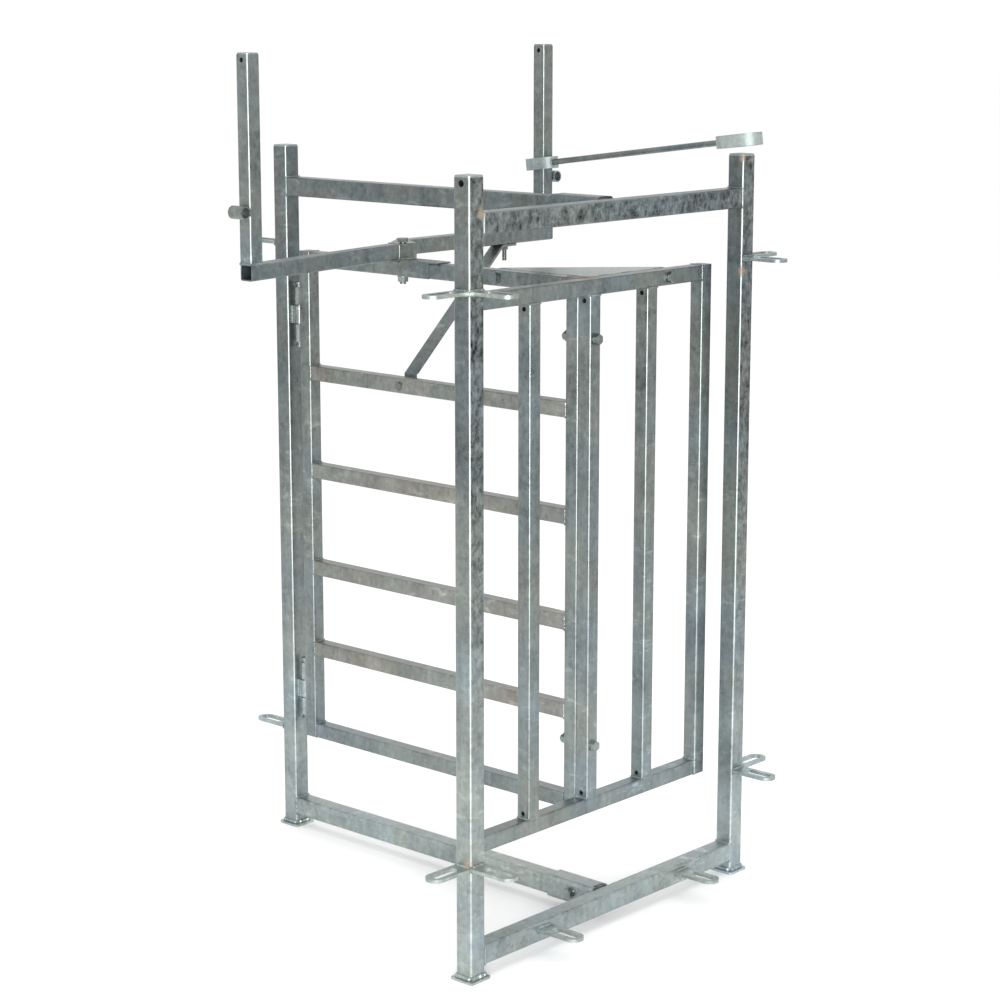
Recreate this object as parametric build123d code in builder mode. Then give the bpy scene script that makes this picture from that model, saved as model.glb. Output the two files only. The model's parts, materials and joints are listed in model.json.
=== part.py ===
from build123d import *
import os
from math import asin, cos, degrees, hypot, radians, sin, tan

# Three-way sorting gate for livestock: a T-shaped frame of square tube with a
# T-shaped gate hung on its rear post, a hand lever across the gate and a
# lifting link that locks it. All sizes are in millimetres.
# The origin is the centre of the hinge post's foot on the ground. +Z is up,
# the entry side of the frame is at -Y and the frame is symmetrical about X = 0.

os.makedirs("parts", exist_ok=True)

# --- Sections and plate -----------------------------------------------------
post_size = 50.0
post_wall = 3.0
post_corner = 6.5
tube_size = 40.0
tube_wall = 3.0
tube_corner = 5.0
foot_size = 70.0
foot_thick = 6.0
cap_thick = 5.0
cap_edge = 2.0
cap_corner = 9.0
vent_radius = 8.0
bar_vent_radius = 6.0
vent_edge = 13.0

# --- Frame --------------------------------------------------------------------
frame_height = 1908.0
entry_pitch = 1018.0
frame_depth = 1142.0
post_above_rail = 85.0
bottom_rail_top = 83.0
socket_length = 150.0
socket_wall = 4.5
socket_clearance = 0.5
socket_relief = 8.0
spine_end_gap = 2.0

# --- Slotted lugs -------------------------------------------------------------
lug_width = 50.0
lug_thick = 8.0
lug_reach = 118.0
lug_slot_width = 24.0
lug_slot_start = 24.0
lower_lug_height = 284.0
upper_lug_drop = 263.0
rail_lug_pitch = 540.0
rail_lug_drop = 18.0

# --- Gate -----------------------------------------------------------------------
gate_bottom = 275.0
lever_headroom = 101.0
saddle_thick = 4.0
hinge_gap = 38.0
panel_setback = 27.0
panel_side_gap = 22.0
ladder_gaps = (195.0, 190.0, 231.0, 229.0, 268.0)

# --- Hinges ----------------------------------------------------------------------
pin_radius = 8.0
pin_clearance = 0.05
pin_overhang = 14.0
pin_collar_radius = 11.0
pin_collar_thick = 6.0
knuckle_radius = 12.0
knuckle_length = 47.0
knuckle_gap = 3.5
leaf_width = 20.0
upper_hinge_drop = 175.0
lower_hinge_rise = 128.0

# --- Fasteners --------------------------------------------------------------------
bolt_radius = 8.0
bolt_flats = 24.0
bolt_head = 10.0
nut_height = 13.0
washer_radius = 15.0
washer_thick = 3.0
brace_bolt_radius = 6.0
brace_bolt_flats = 19.0
brace_bolt_head = 7.5
brace_nut_height = 10.0
hole_clearance = 0.75
nut_bore_clearance = 0.1
thread_end = 6.0
upper_joint_drop = 147.0
lower_joint_rise = 177.0

# --- Gusset in the corner of ladder and panel ---------------------------------------
gusset_leg = 298.0
gusset_tip = 16.0
gusset_thick = 4.0
gusset_flange = 36.0
gusset_bolt_reach = 270.0

# --- Lever, handles and brace -------------------------------------------------------
lever_distance = 328.0
lever_right_reach = 645.0
lever_left_reach = 626.0
lever_kink = 8.84
left_arm_advance = 58.0
block_width = 60.0
block_front_reach = 86.0
block_right_reach = 64.0
block_wall = 4.0
block_bolt_distance = 65.0
saddle_width = 50.0
saddle_front = 30.0
saddle_length = 176.0
saddle_side_length = 100.0
saddle_side_start = 44.0
handle_height = 493.0
handle_cap_thick = 4.0
stub_radius = 16.0
stub_wall = 3.7
stub_length = 45.0
left_stub_drop = 10.0
brace_width = 40.0
brace_thick = 6.0
brace_reach = 465.0
brace_bolt_shift = 68.0
brace_end = 28.0
brace_thread = 30.0

# --- Locking link ---------------------------------------------------------------------
rod_radius = 8.0
band_height = 32.0
band_thick = 5.0
handle_ring_play = 5.0
handle_ring_slack = 25.0
post_ring_play = 5.5
post_ring_slack = 35.0
link_rest_gap = 1.0
stub_gap = 2.0
link_lift_clearance = 7.0

# --- Heights and places that follow ---------------------------------------------------
post_half = post_size / 2
tube_half = tube_size / 2
entry_half = entry_pitch / 2
top_rail_top = frame_height - post_above_rail
top_rail_z = top_rail_top - post_half
bottom_rail_z = bottom_rail_top - post_half
post_tube_top = frame_height - cap_thick
upper_lug_height = frame_height - upper_lug_drop
rail_lug_height = bottom_rail_top - rail_lug_drop
entry_back = -frame_depth + post_half
entry_front = -frame_depth - post_half

lever_top = top_rail_z - post_half - lever_headroom
lever_bottom = lever_top - tube_size
gate_top = lever_bottom - saddle_thick
ladder_top_z = gate_top - tube_half
ladder_bottom_z = gate_bottom + tube_half

hinge_y = -(post_half + hinge_gap / 2)
ladder_back = -(post_half + hinge_gap)
panel_front = entry_back + panel_setback
panel_back = panel_front + tube_size
panel_y = panel_front + tube_half
hinge_stile_y = ladder_back - tube_half
meeting_stile_y = panel_back + tube_half
ladder_rail_start = ladder_back - tube_size
ladder_rail_length = ladder_rail_start - (panel_back + tube_size)
panel_half = entry_half - post_half - panel_side_gap
panel_stile_x = panel_half - tube_half

lever_y = -(post_half + hinge_gap / 2 + lever_distance)
block_front = lever_y - block_front_reach
block_bolt_y = lever_y - block_bolt_distance
lever_bolt_hole = bolt_radius + hole_clearance
right_handle_x = lever_right_reach - tube_half
left_handle_x = tube_half - lever_left_reach
left_handle_y = lever_y - left_arm_advance + left_handle_x * tan(radians(lever_kink))
handle_tube_top = lever_top + handle_height
stub_z = top_rail_top + link_rest_gap - stub_gap - stub_radius


def section_plane(start, direction):
    """Plane across a bar: its centre is at start and its normal is direction."""
    x_dir = (0, 1, 0) if direction[0] else (1, 0, 0)
    return Plane(origin=start, x_dir=x_dir, z_dir=direction)


def save(part, name):
    """Name one finished piece and write it."""
    part.label = name
    export_step(part, f"parts/{name}.step")


def square_tube(name, start, direction, length, size, wall, corner, holes=()):
    """Write one hollow square bar. Each hole is (centre, direction, radius, depth)."""
    inner = size - 2 * wall
    with BuildPart() as tube:
        with BuildSketch(section_plane(start, direction)):
            RectangleRounded(size, size, corner)
            RectangleRounded(inner, inner, max(corner - wall, wall / 3), mode=Mode.SUBTRACT)
        extrude(amount=length)
        for centre, axis, radius, depth in holes:
            with BuildSketch(section_plane(centre, axis)):
                Circle(radius)
            extrude(amount=depth, mode=Mode.SUBTRACT)
    save(tube.part, name)


def post_tube(name, start, direction, length, holes=()):
    """Write one bar of the frame's section."""
    square_tube(name, start, direction, length, post_size, post_wall, post_corner, holes)


def gate_tube(name, start, direction, length, holes=()):
    """Write one bar of the gate's section."""
    square_tube(name, start, direction, length, tube_size, tube_wall, tube_corner, holes)


def hex_bolts(name, places, radius, flats, head):
    """Write bolts. Each place is (point under the head, direction of the shank, length)."""
    with BuildPart() as bolts:
        for point, axis, length in places:
            under_head = section_plane(point, axis)
            with BuildSketch(under_head):
                RegularPolygon(flats / 2, 6, major_radius=False, rotation=30)
            extrude(amount=-head)
            with BuildSketch(under_head):
                Circle(radius)
            extrude(amount=length)
    save(bolts.part, name)


def hex_nuts(name, places, radius, flats, height):
    """Write nuts. Each place is (point on the seat, direction away from the seat)."""
    with BuildPart() as nuts:
        for point, axis in places:
            with BuildSketch(section_plane(point, axis)):
                RegularPolygon(flats / 2, 6, major_radius=False, rotation=30)
                Circle(radius + nut_bore_clearance, mode=Mode.SUBTRACT)
            extrude(amount=height)
    save(nuts.part, name)


def washers(name, places, radius, outer, thick):
    """Write plain washers. Each place is (point on the seat, direction away from it)."""
    with BuildPart() as rings:
        for point, axis in places:
            with BuildSketch(section_plane(point, axis)):
                Circle(outer)
                Circle(radius + hole_clearance, mode=Mode.SUBTRACT)
            extrude(amount=thick)
    save(rings.part, name)


def slotted_lugs(name, places):
    """Write flat tongues with a long slot. Each place is (point on the face, outward)."""
    slot_end = lug_reach - (lug_width - lug_slot_width) / 2
    slot_length = slot_end - lug_slot_start
    with BuildPart() as lugs:
        for point, outward in places:
            low_point = (point[0], point[1], point[2] - lug_thick / 2)
            with BuildSketch(Plane(origin=low_point, x_dir=outward, z_dir=(0, 0, 1))):
                with Locations(((lug_reach - lug_width / 2) / 2, 0)):
                    Rectangle(lug_reach - lug_width / 2, lug_width)
                with Locations((lug_reach - lug_width / 2, 0)):
                    Circle(lug_width / 2)
                with Locations((lug_slot_start + slot_length / 2, 0)):
                    SlotOverall(slot_length, lug_slot_width, mode=Mode.SUBTRACT)
            extrude(amount=lug_thick)
    save(lugs.part, name)


def hinge_knuckles(name, heights, face_y):
    """Write hinge barrels, each with its leaf out to the face at face_y."""
    leaf_length = abs(face_y - hinge_y)
    with BuildPart() as knuckles:
        for height in heights:
            low_end = Plane.XY.offset(height - knuckle_length / 2)
            with BuildSketch(low_end):
                with Locations((0, (face_y + hinge_y) / 2)):
                    Rectangle(leaf_width, leaf_length)
                with Locations((0, hinge_y)):
                    Circle(knuckle_radius)
                    Circle(pin_radius + pin_clearance, mode=Mode.SUBTRACT)
            extrude(amount=knuckle_length)
    save(knuckles.part, name)


# --- Posts, caps and feet ----------------------------------------------------------
post_length = post_tube_top - foot_thick
vent_z = frame_height - vent_edge - vent_radius + cap_thick / 2
post_places = {
    "hinge_post": (0, 0),
    "left_entry_post": (-entry_half, -frame_depth),
    "right_entry_post": (entry_half, -frame_depth),
}
post_vents = {
    "hinge_post": ((0, post_half, vent_z), (0, -1, 0)),
    "left_entry_post": ((-entry_half - post_half, -frame_depth, vent_z), (1, 0, 0)),
    "right_entry_post": ((entry_half + post_half, -frame_depth, vent_z), (-1, 0, 0)),
}
for name, (x, y) in post_places.items():
    centre, axis = post_vents[name]
    vent = (centre, axis, vent_radius, post_wall)
    post_tube(name, (x, y, foot_thick), (0, 0, 1), post_length, [vent])
    with BuildPart() as foot:
        with BuildSketch(Plane(origin=(x, y, 0))):
            RectangleRounded(foot_size, foot_size, post_corner)
        extrude(amount=foot_thick)
    save(foot.part, f"{name}_foot")

with BuildPart() as post_caps:
    for x, y in post_places.values():
        with BuildSketch(Plane(origin=(x, y, post_tube_top))):
            RectangleRounded(post_size, post_size, cap_corner)
        extrude(amount=cap_thick)
    fillet(post_caps.faces().group_by(Axis.Z)[-1].edges(), radius=cap_edge)
post_caps.part.label = "post_caps"
export_step(post_caps.part, "parts/post_caps.step")

# --- Frame rails and the sockets that join them --------------------------------------
entry_rail_length = entry_pitch - post_size
spine_length = -entry_back - post_half - spine_end_gap
socket_bolt_y = entry_back + socket_length / 2
socket_half = post_half + socket_clearance + socket_wall
frame_hole = bolt_radius + hole_clearance
rail_levels = {"top": top_rail_z, "bottom": bottom_rail_z}
for level, z in rail_levels.items():
    rail_start = (-entry_half + post_half, -frame_depth, z)
    post_tube(f"entry_{level}_rail", rail_start, (1, 0, 0), entry_rail_length)
    cross_hole = ((-post_half, socket_bolt_y, z), (1, 0, 0), frame_hole, post_size)
    spine_start = (0, -post_half, z)
    post_tube(f"spine_{level}_rail", spine_start, (0, -1, 0), spine_length, [cross_hole])

    bore = post_size + 2 * socket_clearance
    with BuildPart() as socket:
        with BuildSketch(section_plane((0, entry_back, z), (0, 1, 0))):
            RectangleRounded(2 * socket_half, 2 * socket_half, post_corner + socket_wall)
            RectangleRounded(bore, bore, post_corner, mode=Mode.SUBTRACT)
        extrude(amount=socket_length)
        with BuildSketch(Plane(origin=(0, entry_back, z + post_half))):
            with Locations((0, socket_relief / 2)):
                Rectangle(bore - 2 * post_corner, socket_relief)
        extrude(amount=2 * socket_wall, mode=Mode.SUBTRACT)
        with BuildSketch(section_plane((-socket_half, socket_bolt_y, z), (1, 0, 0))):
            Circle(frame_hole)
        extrude(amount=2 * socket_half, mode=Mode.SUBTRACT)
    save(socket.part, f"{level}_socket")

socket_heads = [(-socket_half, socket_bolt_y, z) for z in rail_levels.values()]
socket_tails = [(socket_half, socket_bolt_y, z) for z in rail_levels.values()]
socket_shank = 2 * (socket_half + washer_thick) + nut_height + thread_end
hex_bolts(
    "socket_bolts",
    [((x - washer_thick, y, z), (1, 0, 0), socket_shank) for x, y, z in socket_heads],
    bolt_radius, bolt_flats, bolt_head,
)
washers(
    "socket_washers",
    [(point, (-1, 0, 0)) for point in socket_heads] + [(point, (1, 0, 0)) for point in socket_tails],
    bolt_radius, washer_radius, washer_thick,
)
hex_nuts(
    "socket_nuts",
    [((x + washer_thick, y, z), (1, 0, 0)) for x, y, z in socket_tails],
    bolt_radius, bolt_flats, nut_height,
)

# --- Lugs that take the races, on the posts and the lower entry rail --------------------
lug_levels = (lower_lug_height, upper_lug_height)
side_x = entry_half + post_half
slotted_lugs("hinge_post_lugs", [((0, post_half, z), (0, 1, 0)) for z in lug_levels])
slotted_lugs(
    "entry_side_lugs",
    [((side * side_x, -frame_depth, z), (side, 0, 0)) for side in (-1, 1) for z in lug_levels],
)
slotted_lugs(
    "entry_front_lugs",
    [((side * entry_half, entry_front, z), (0, -1, 0)) for side in (-1, 1) for z in lug_levels],
)
slotted_lugs(
    "rail_lugs",
    [((side * rail_lug_pitch / 2, entry_front, rail_lug_height), (0, -1, 0)) for side in (-1, 1)],
)

# --- Hinges ---------------------------------------------------------------------------
hinge_heights = (gate_bottom + lower_hinge_rise, gate_top - upper_hinge_drop)
knuckle_pitch = knuckle_length + knuckle_gap
outer_heights = [z + side * knuckle_pitch for z in hinge_heights for side in (-1, 1)]
hinge_knuckles("post_hinge_knuckles", hinge_heights, -post_half)
hinge_knuckles("gate_hinge_knuckles", outer_heights, ladder_back)

pin_half = knuckle_pitch + knuckle_length / 2 + pin_overhang
with BuildPart() as hinge_pins:
    for height in hinge_heights:
        with BuildSketch(Plane(origin=(0, hinge_y, height - pin_half))):
            Circle(pin_radius)
        extrude(amount=2 * pin_half)
        for collar_z in (height - pin_half, height + pin_half - pin_collar_thick):
            with BuildSketch(Plane(origin=(0, hinge_y, collar_z))):
                Circle(pin_collar_radius)
            extrude(amount=pin_collar_thick)
hinge_pins.part.label = "hinge_pins"
export_step(hinge_pins.part, "parts/hinge_pins.step")

# --- Ladder part of the gate ------------------------------------------------------------
gate_height = gate_top - gate_bottom
joint_heights = (gate_bottom + lower_joint_rise, gate_top - upper_joint_drop)
gate_hole = bolt_radius + hole_clearance
stile_holes = [((0, panel_back, z), (0, 1, 0), gate_hole, tube_size) for z in joint_heights]
gate_tube("hinge_stile", (0, hinge_stile_y, gate_bottom), (0, 0, 1), gate_height)
gate_tube("meeting_stile", (0, meeting_stile_y, gate_bottom), (0, 0, 1), gate_height, stile_holes)

clear_height = gate_height - (len(ladder_gaps) + 1) * tube_size
gap_scale = clear_height / sum(ladder_gaps)
rail_heights = [ladder_bottom_z]
for gap in ladder_gaps:
    rail_heights.append(rail_heights[-1] + tube_size + gap * gap_scale)
gusset_bolt_y = panel_back + gusset_bolt_reach
gusset_bolt_x = tube_half + gusset_bolt_reach
brace_bolt_y = lever_y - brace_bolt_shift
brace_rail_z = rail_heights[-2]
brace_hole = brace_bolt_radius + hole_clearance
ladder_holes = {
    5: [
        ((-tube_half, gusset_bolt_y, ladder_top_z), (1, 0, 0), gate_hole, tube_size),
        ((0, block_bolt_y, gate_top - tube_size), (0, 0, 1), lever_bolt_hole, tube_size),
    ],
    4: [((-tube_half, brace_bolt_y, brace_rail_z), (1, 0, 0), brace_hole, tube_size)],
}
ladder_names = (
    "ladder_bottom_rail", "ladder_rail_5", "ladder_rail_4",
    "ladder_rail_3", "ladder_rail_2", "ladder_top_rail",
)
for index, (name, z) in enumerate(zip(ladder_names, rail_heights)):
    rail_start = (0, ladder_rail_start, z)
    gate_tube(name, rail_start, (0, -1, 0), ladder_rail_length, ladder_holes.get(index, ()))

# --- Cross panel of the gate --------------------------------------------------------------
for side, name in ((-1, "panel_left_stile"), (1, "panel_right_stile")):
    gate_tube(name, (side * panel_stile_x, panel_y, gate_bottom), (0, 0, 1), gate_height)

panel_rail_length = 2 * (panel_half - tube_size)
panel_rail_x = tube_size - panel_half
panel_bolt_hole = ((gusset_bolt_x, panel_front, ladder_top_z), (0, 1, 0), gate_hole, tube_size)
gate_tube("panel_bottom_rail", (panel_rail_x, panel_y, ladder_bottom_z), (1, 0, 0), panel_rail_length)
gate_tube(
    "panel_top_rail", (panel_rail_x, panel_y, ladder_top_z), (1, 0, 0), panel_rail_length,
    [panel_bolt_hole],
)

bar_bottom = gate_bottom + tube_size
bar_length = gate_height - 2 * tube_size
bar_vent_levels = (bar_bottom + vent_edge, bar_bottom + bar_length - vent_edge)
for name, x in (
    ("panel_left_bar", -panel_stile_x / 2),
    ("panel_middle_bar", 0.0),
    ("panel_right_bar", panel_stile_x / 2),
):
    face_x = x - tube_half
    bar_holes = [
        ((face_x, panel_y, z), (1, 0, 0), bar_vent_radius, tube_wall) for z in bar_vent_levels
    ]
    if x == 0.0:
        bar_holes += [((x, panel_front, z), (0, 1, 0), gate_hole, tube_size) for z in joint_heights]
    gate_tube(name, (x, panel_y, bar_bottom), (0, 0, 1), bar_length, bar_holes)

# --- Corner gusset: a level plate with a flange down each tube ------------------------------
with BuildPart() as corner_gusset:
    gusset_top = Plane(origin=(tube_half, panel_back, gate_top))
    with BuildSketch(gusset_top):
        with BuildLine():
            Polyline(
                (0, 0), (gusset_leg, 0), (gusset_leg, gusset_tip),
                (gusset_tip, gusset_leg), (0, gusset_leg), (0, 0),
            )
        make_face()
    extrude(amount=-gusset_thick)
    with BuildSketch(gusset_top):
        with Locations((gusset_leg / 2, gusset_thick / 2)):
            Rectangle(gusset_leg, gusset_thick)
        with Locations((gusset_thick / 2, gusset_leg / 2)):
            Rectangle(gusset_thick, gusset_leg)
    extrude(amount=-gusset_flange)
    with BuildSketch(section_plane((tube_half, gusset_bolt_y, ladder_top_z), (1, 0, 0))):
        Circle(gate_hole)
    extrude(amount=gusset_thick, mode=Mode.SUBTRACT)
    with BuildSketch(section_plane((gusset_bolt_x, panel_back, ladder_top_z), (0, 1, 0))):
        Circle(gate_hole)
    extrude(amount=gusset_thick, mode=Mode.SUBTRACT)
corner_gusset.part.label = "corner_gusset"
export_step(corner_gusset.part, "parts/corner_gusset.step")

# --- Bolts that hold ladder, panel and gusset together -----------------------------------------
joint_grip = 2 * tube_size
gusset_grip = tube_size + gusset_thick
across = [((0, panel_front, z), (0, 1, 0), joint_grip) for z in joint_heights]
across.append(((gusset_bolt_x, panel_front, ladder_top_z), (0, 1, 0), gusset_grip))
across.append(((-tube_half, gusset_bolt_y, ladder_top_z), (1, 0, 0), gusset_grip))
panel_bolt_places = []
panel_washer_places = []
panel_nut_places = []
for point, axis, grip in across:
    seat = Vector(*point)
    along = Vector(*axis)
    far_seat = seat + along * grip
    shank = grip + 2 * washer_thick + nut_height + thread_end
    panel_bolt_places.append((tuple(seat - along * washer_thick), axis, shank))
    panel_washer_places.append((tuple(seat), tuple(along * -1)))
    panel_washer_places.append((tuple(far_seat), axis))
    panel_nut_places.append((tuple(far_seat + along * washer_thick), axis))
hex_bolts("panel_bolts", panel_bolt_places, bolt_radius, bolt_flats, bolt_head)
washers("panel_washers", panel_washer_places, bolt_radius, washer_radius, washer_thick)
hex_nuts("panel_nuts", panel_nut_places, bolt_radius, bolt_flats, nut_height)

# --- Lever: a straight right arm, and a left arm further forward that slants to the entry --------
lever_z = lever_bottom + tube_half
right_arm_length = lever_right_reach - block_right_reach
brace_top_hole = ((brace_reach, lever_y, lever_bottom), (0, 0, 1), brace_hole, tube_size)
right_arm_start = (block_right_reach, lever_y, lever_z)
gate_tube("lever_right_arm", right_arm_start, (1, 0, 0), right_arm_length, [brace_top_hole])

kink = radians(lever_kink)
arm_width = tube_size / cos(kink)
arm_inner_width = (tube_size - 2 * tube_wall) / cos(kink)
arm_inner_height = tube_size - 2 * tube_wall
left_arm_x = -block_width / 2
left_arm_y = lever_y - left_arm_advance + left_arm_x * tan(kink)
left_arm_length = (lever_left_reach + left_arm_x) / cos(kink)
with BuildPart() as lever_left_arm:
    with BuildSketch(section_plane((left_arm_x, left_arm_y, lever_z), (-1, 0, 0))):
        RectangleRounded(arm_width, tube_size, tube_corner)
        RectangleRounded(arm_inner_width, arm_inner_height, tube_wall / 3, mode=Mode.SUBTRACT)
    extrude(amount=left_arm_length, dir=(-cos(kink), -sin(kink), 0))
lever_left_arm.part.label = "lever_left_arm"
export_step(lever_left_arm.part, "parts/lever_left_arm.step")

# --- Block and saddle that seat the lever on the ladder's top rail ------------------------------
# The block is a cranked box: the left arm meets its front part, the right arm its back.
block_plan = [
    (left_arm_x, left_arm_y + arm_width / 2),
    (left_arm_x, block_front),
    (-left_arm_x, block_front),
    (block_right_reach, lever_y - tube_half),
    (block_right_reach, lever_y + tube_half),
]
with BuildPart() as lever_block:
    with BuildSketch(Plane.XY.offset(lever_bottom)):
        with BuildLine():
            Polyline(*block_plan, close=True)
        make_face()
    extrude(amount=tube_size)
    with BuildSketch(Plane.XY.offset(lever_bottom + block_wall)):
        with BuildLine():
            Polyline(*block_plan, close=True)
        make_face()
        offset(amount=-block_wall, kind=Kind.INTERSECTION, mode=Mode.REPLACE)
    extrude(amount=tube_size - 2 * block_wall, mode=Mode.SUBTRACT)
    with BuildSketch(Plane(origin=(0, block_bolt_y, lever_bottom))):
        Circle(lever_bolt_hole)
    extrude(amount=tube_size, mode=Mode.SUBTRACT)
lever_block.part.label = "lever_block"
export_step(lever_block.part, "parts/lever_block.step")

saddle_start = block_bolt_y + saddle_front
with BuildPart() as lever_saddle:
    with BuildSketch(Plane(origin=(0, saddle_start - saddle_length / 2, gate_top))):
        Rectangle(saddle_width, saddle_length)
        with Locations((0, saddle_length / 2 - saddle_front)):
            Circle(lever_bolt_hole, mode=Mode.SUBTRACT)
    extrude(amount=saddle_thick)
    side_x_low = -tube_half - saddle_thick / 2
    side_y = saddle_start - saddle_side_start - saddle_side_length / 2
    with BuildSketch(Plane(origin=(side_x_low, side_y, gate_top))):
        Rectangle(saddle_thick, saddle_side_length)
    extrude(amount=-tube_size)
lever_saddle.part.label = "lever_saddle"
export_step(lever_saddle.part, "parts/lever_saddle.step")

rail_under = gate_top - tube_size
lever_head_z = lever_top + washer_thick
lever_shank = lever_head_z - rail_under + washer_thick + nut_height + thread_end
hex_bolts(
    "lever_bolt",
    [((0, block_bolt_y, lever_head_z), (0, 0, -1), lever_shank)],
    bolt_radius, bolt_flats, bolt_head,
)
with BuildPart() as lever_nut:
    with BuildSketch(Plane(origin=(0, block_bolt_y, rail_under))):
        Circle(washer_radius)
        Circle(bolt_radius + nut_bore_clearance, mode=Mode.SUBTRACT)
    extrude(amount=-washer_thick)
    with BuildSketch(Plane(origin=(0, block_bolt_y, rail_under - washer_thick))):
        RegularPolygon(bolt_flats / 2, 6, major_radius=False)
        Circle(bolt_radius + nut_bore_clearance, mode=Mode.SUBTRACT)
    extrude(amount=-nut_height)
lever_nut.part.label = "lever_nut"
export_step(lever_nut.part, "parts/lever_nut.step")

# --- Handles with their caps and stop stubs ------------------------------------------------------
handle_places = {
    "left": (left_handle_x, left_handle_y, -1, stub_z - left_stub_drop),
    "right": (right_handle_x, lever_y, 1, stub_z),
}
handle_vent_z = handle_tube_top - vent_edge
for side_name, (x, y, side, height) in handle_places.items():
    vent = ((x - tube_half, y, handle_vent_z), (1, 0, 0), bar_vent_radius, tube_wall)
    gate_tube(f"{side_name}_handle", (x, y, lever_top), (0, 0, 1), handle_height, [vent])
    stub_x = x + side * (tube_half + stub_radius)
    with BuildPart() as stub:
        with BuildSketch(section_plane((stub_x, y - stub_length / 2, height), (0, 1, 0))):
            Circle(stub_radius)
            Circle(stub_radius - stub_wall, mode=Mode.SUBTRACT)
        extrude(amount=stub_length)
    save(stub.part, f"{side_name}_stop_stub")

with BuildPart() as handle_caps:
    for x, y, _, _ in handle_places.values():
        with BuildSketch(Plane(origin=(x, y, handle_tube_top))):
            RectangleRounded(tube_size, tube_size, cap_corner)
        extrude(amount=handle_cap_thick)
    fillet(handle_caps.faces().group_by(Axis.Z)[-1].edges(), radius=cap_edge)
handle_caps.part.label = "handle_caps"
export_step(handle_caps.part, "parts/handle_caps.step")

# --- Brace strap from the second ladder rail up to the lever's right arm -------------------------
# The strap stands upright on the rail, climbs across and lies flat under the arm.
strap_bend = brace_rail_z + brace_end
strap_run = brace_reach - brace_end - tube_half
strap_rise = lever_bottom - strap_bend
strap_climb = Vector(strap_run, lever_y - brace_bolt_y, strap_rise)
strap_level_thick = brace_thick * hypot(strap_run, strap_rise) / strap_rise
strap_start = (tube_half + strap_level_thick / 2, brace_bolt_y, strap_bend)
with BuildPart() as brace_strap:
    with BuildSketch(section_plane((tube_half, brace_bolt_y, brace_rail_z), (1, 0, 0))):
        Rectangle(brace_width, 2 * brace_end)
    extrude(amount=brace_thick)
    with BuildSketch(Plane(origin=(brace_reach, lever_y, lever_bottom))):
        Rectangle(2 * brace_end, brace_width)
    extrude(amount=-brace_thick)
    with BuildSketch(Plane(origin=strap_start)):
        Rectangle(strap_level_thick, brace_width)
    extrude(amount=strap_climb.length, dir=strap_climb)
    with BuildSketch(section_plane((tube_half, brace_bolt_y, brace_rail_z), (1, 0, 0))):
        Circle(brace_hole)
    extrude(amount=brace_thick, mode=Mode.SUBTRACT)
    with BuildSketch(Plane(origin=(brace_reach, lever_y, lever_bottom))):
        Circle(brace_hole)
    extrude(amount=-brace_thick, mode=Mode.SUBTRACT)
brace_strap.part.label = "brace_strap"
export_step(brace_strap.part, "parts/brace_strap.step")

brace_grip = tube_size + brace_thick
hex_bolts(
    "brace_bolts",
    [
        ((-tube_half, brace_bolt_y, brace_rail_z), (1, 0, 0), brace_grip + brace_nut_height + thread_end),
        ((brace_reach, lever_y, lever_top), (0, 0, -1), brace_grip + brace_nut_height + brace_thread),
    ],
    brace_bolt_radius, brace_bolt_flats, brace_bolt_head,
)
hex_nuts(
    "brace_nuts",
    [
        ((tube_half + brace_thick, brace_bolt_y, brace_rail_z), (1, 0, 0)),
        ((brace_reach, lever_y, lever_bottom - brace_thick), (0, 0, -1)),
    ],
    brace_bolt_radius, brace_bolt_flats, brace_nut_height,
)

# --- Locking link, drawn lifted clear of the right entry post ------------------------------------
# Lowered to level it lies on the entry rail with one ring round the post.
link_pivot = (right_handle_x, lever_y + stub_length / 2, stub_z + stub_radius)
handle_ring_width = tube_size + 2 * (handle_ring_play + band_thick)
handle_ring_length = tube_size + 2 * (handle_ring_slack + band_thick)
post_ring_width = post_size + 2 * (post_ring_play + band_thick)
post_ring_length = post_size + 2 * (post_ring_slack + band_thick)
ring_near_reach = frame_depth - post_ring_length / 2 + link_pivot[1]
link_tilt = asin((post_above_rail + link_lift_clearance) / ring_near_reach)
link_plane = Plane(origin=link_pivot, x_dir=(1, 0, 0), z_dir=(0, sin(link_tilt), cos(link_tilt)))
band_plane = link_plane.offset(stub_gap)
rod_plane = link_plane.offset(stub_gap + band_height / 2)
handle_ring_centre = (0, -stub_length / 2)
post_ring_centre = (entry_half - right_handle_x, -frame_depth - link_pivot[1])
rings = {
    "handle_ring": (handle_ring_centre, handle_ring_length, handle_ring_width),
    "post_ring": (post_ring_centre, post_ring_length, post_ring_width),
}
for name, (centre, length, width) in rings.items():
    with BuildPart() as ring:
        with BuildSketch(band_plane):
            with Locations(centre):
                SlotOverall(length, width, rotation=90)
                inner_length = length - 2 * band_thick
                SlotOverall(inner_length, width - 2 * band_thick, rotation=90, mode=Mode.SUBTRACT)
        extrude(amount=band_height)
    save(ring.part, name)

rod_start = rod_plane.from_local_coords(Vector(*handle_ring_centre))
rod_end = rod_plane.from_local_coords(Vector(*post_ring_centre))
rod_run = rod_end - rod_start
with BuildPart() as link_rod:
    with BuildSketch(Plane(origin=rod_start, x_dir=link_plane.z_dir, z_dir=rod_run.normalized())):
        Circle(rod_radius)
    extrude(amount=rod_run.length)
    for centre, length, width in rings.values():
        with BuildSketch(band_plane):
            with Locations(centre):
                SlotOverall(length, width, rotation=90)
        extrude(amount=band_height, mode=Mode.SUBTRACT)
link_rod.part.label = "link_rod"
export_step(link_rod.part, "parts/link_rod.step")

print("gate hinge axis y", round(hinge_y, 3))
print("link pivot", [round(value, 3) for value in link_pivot])
print("link tilt at rest", round(degrees(link_tilt), 3))
print("ladder rail heights", [round(value, 1) for value in rail_heights])
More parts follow.
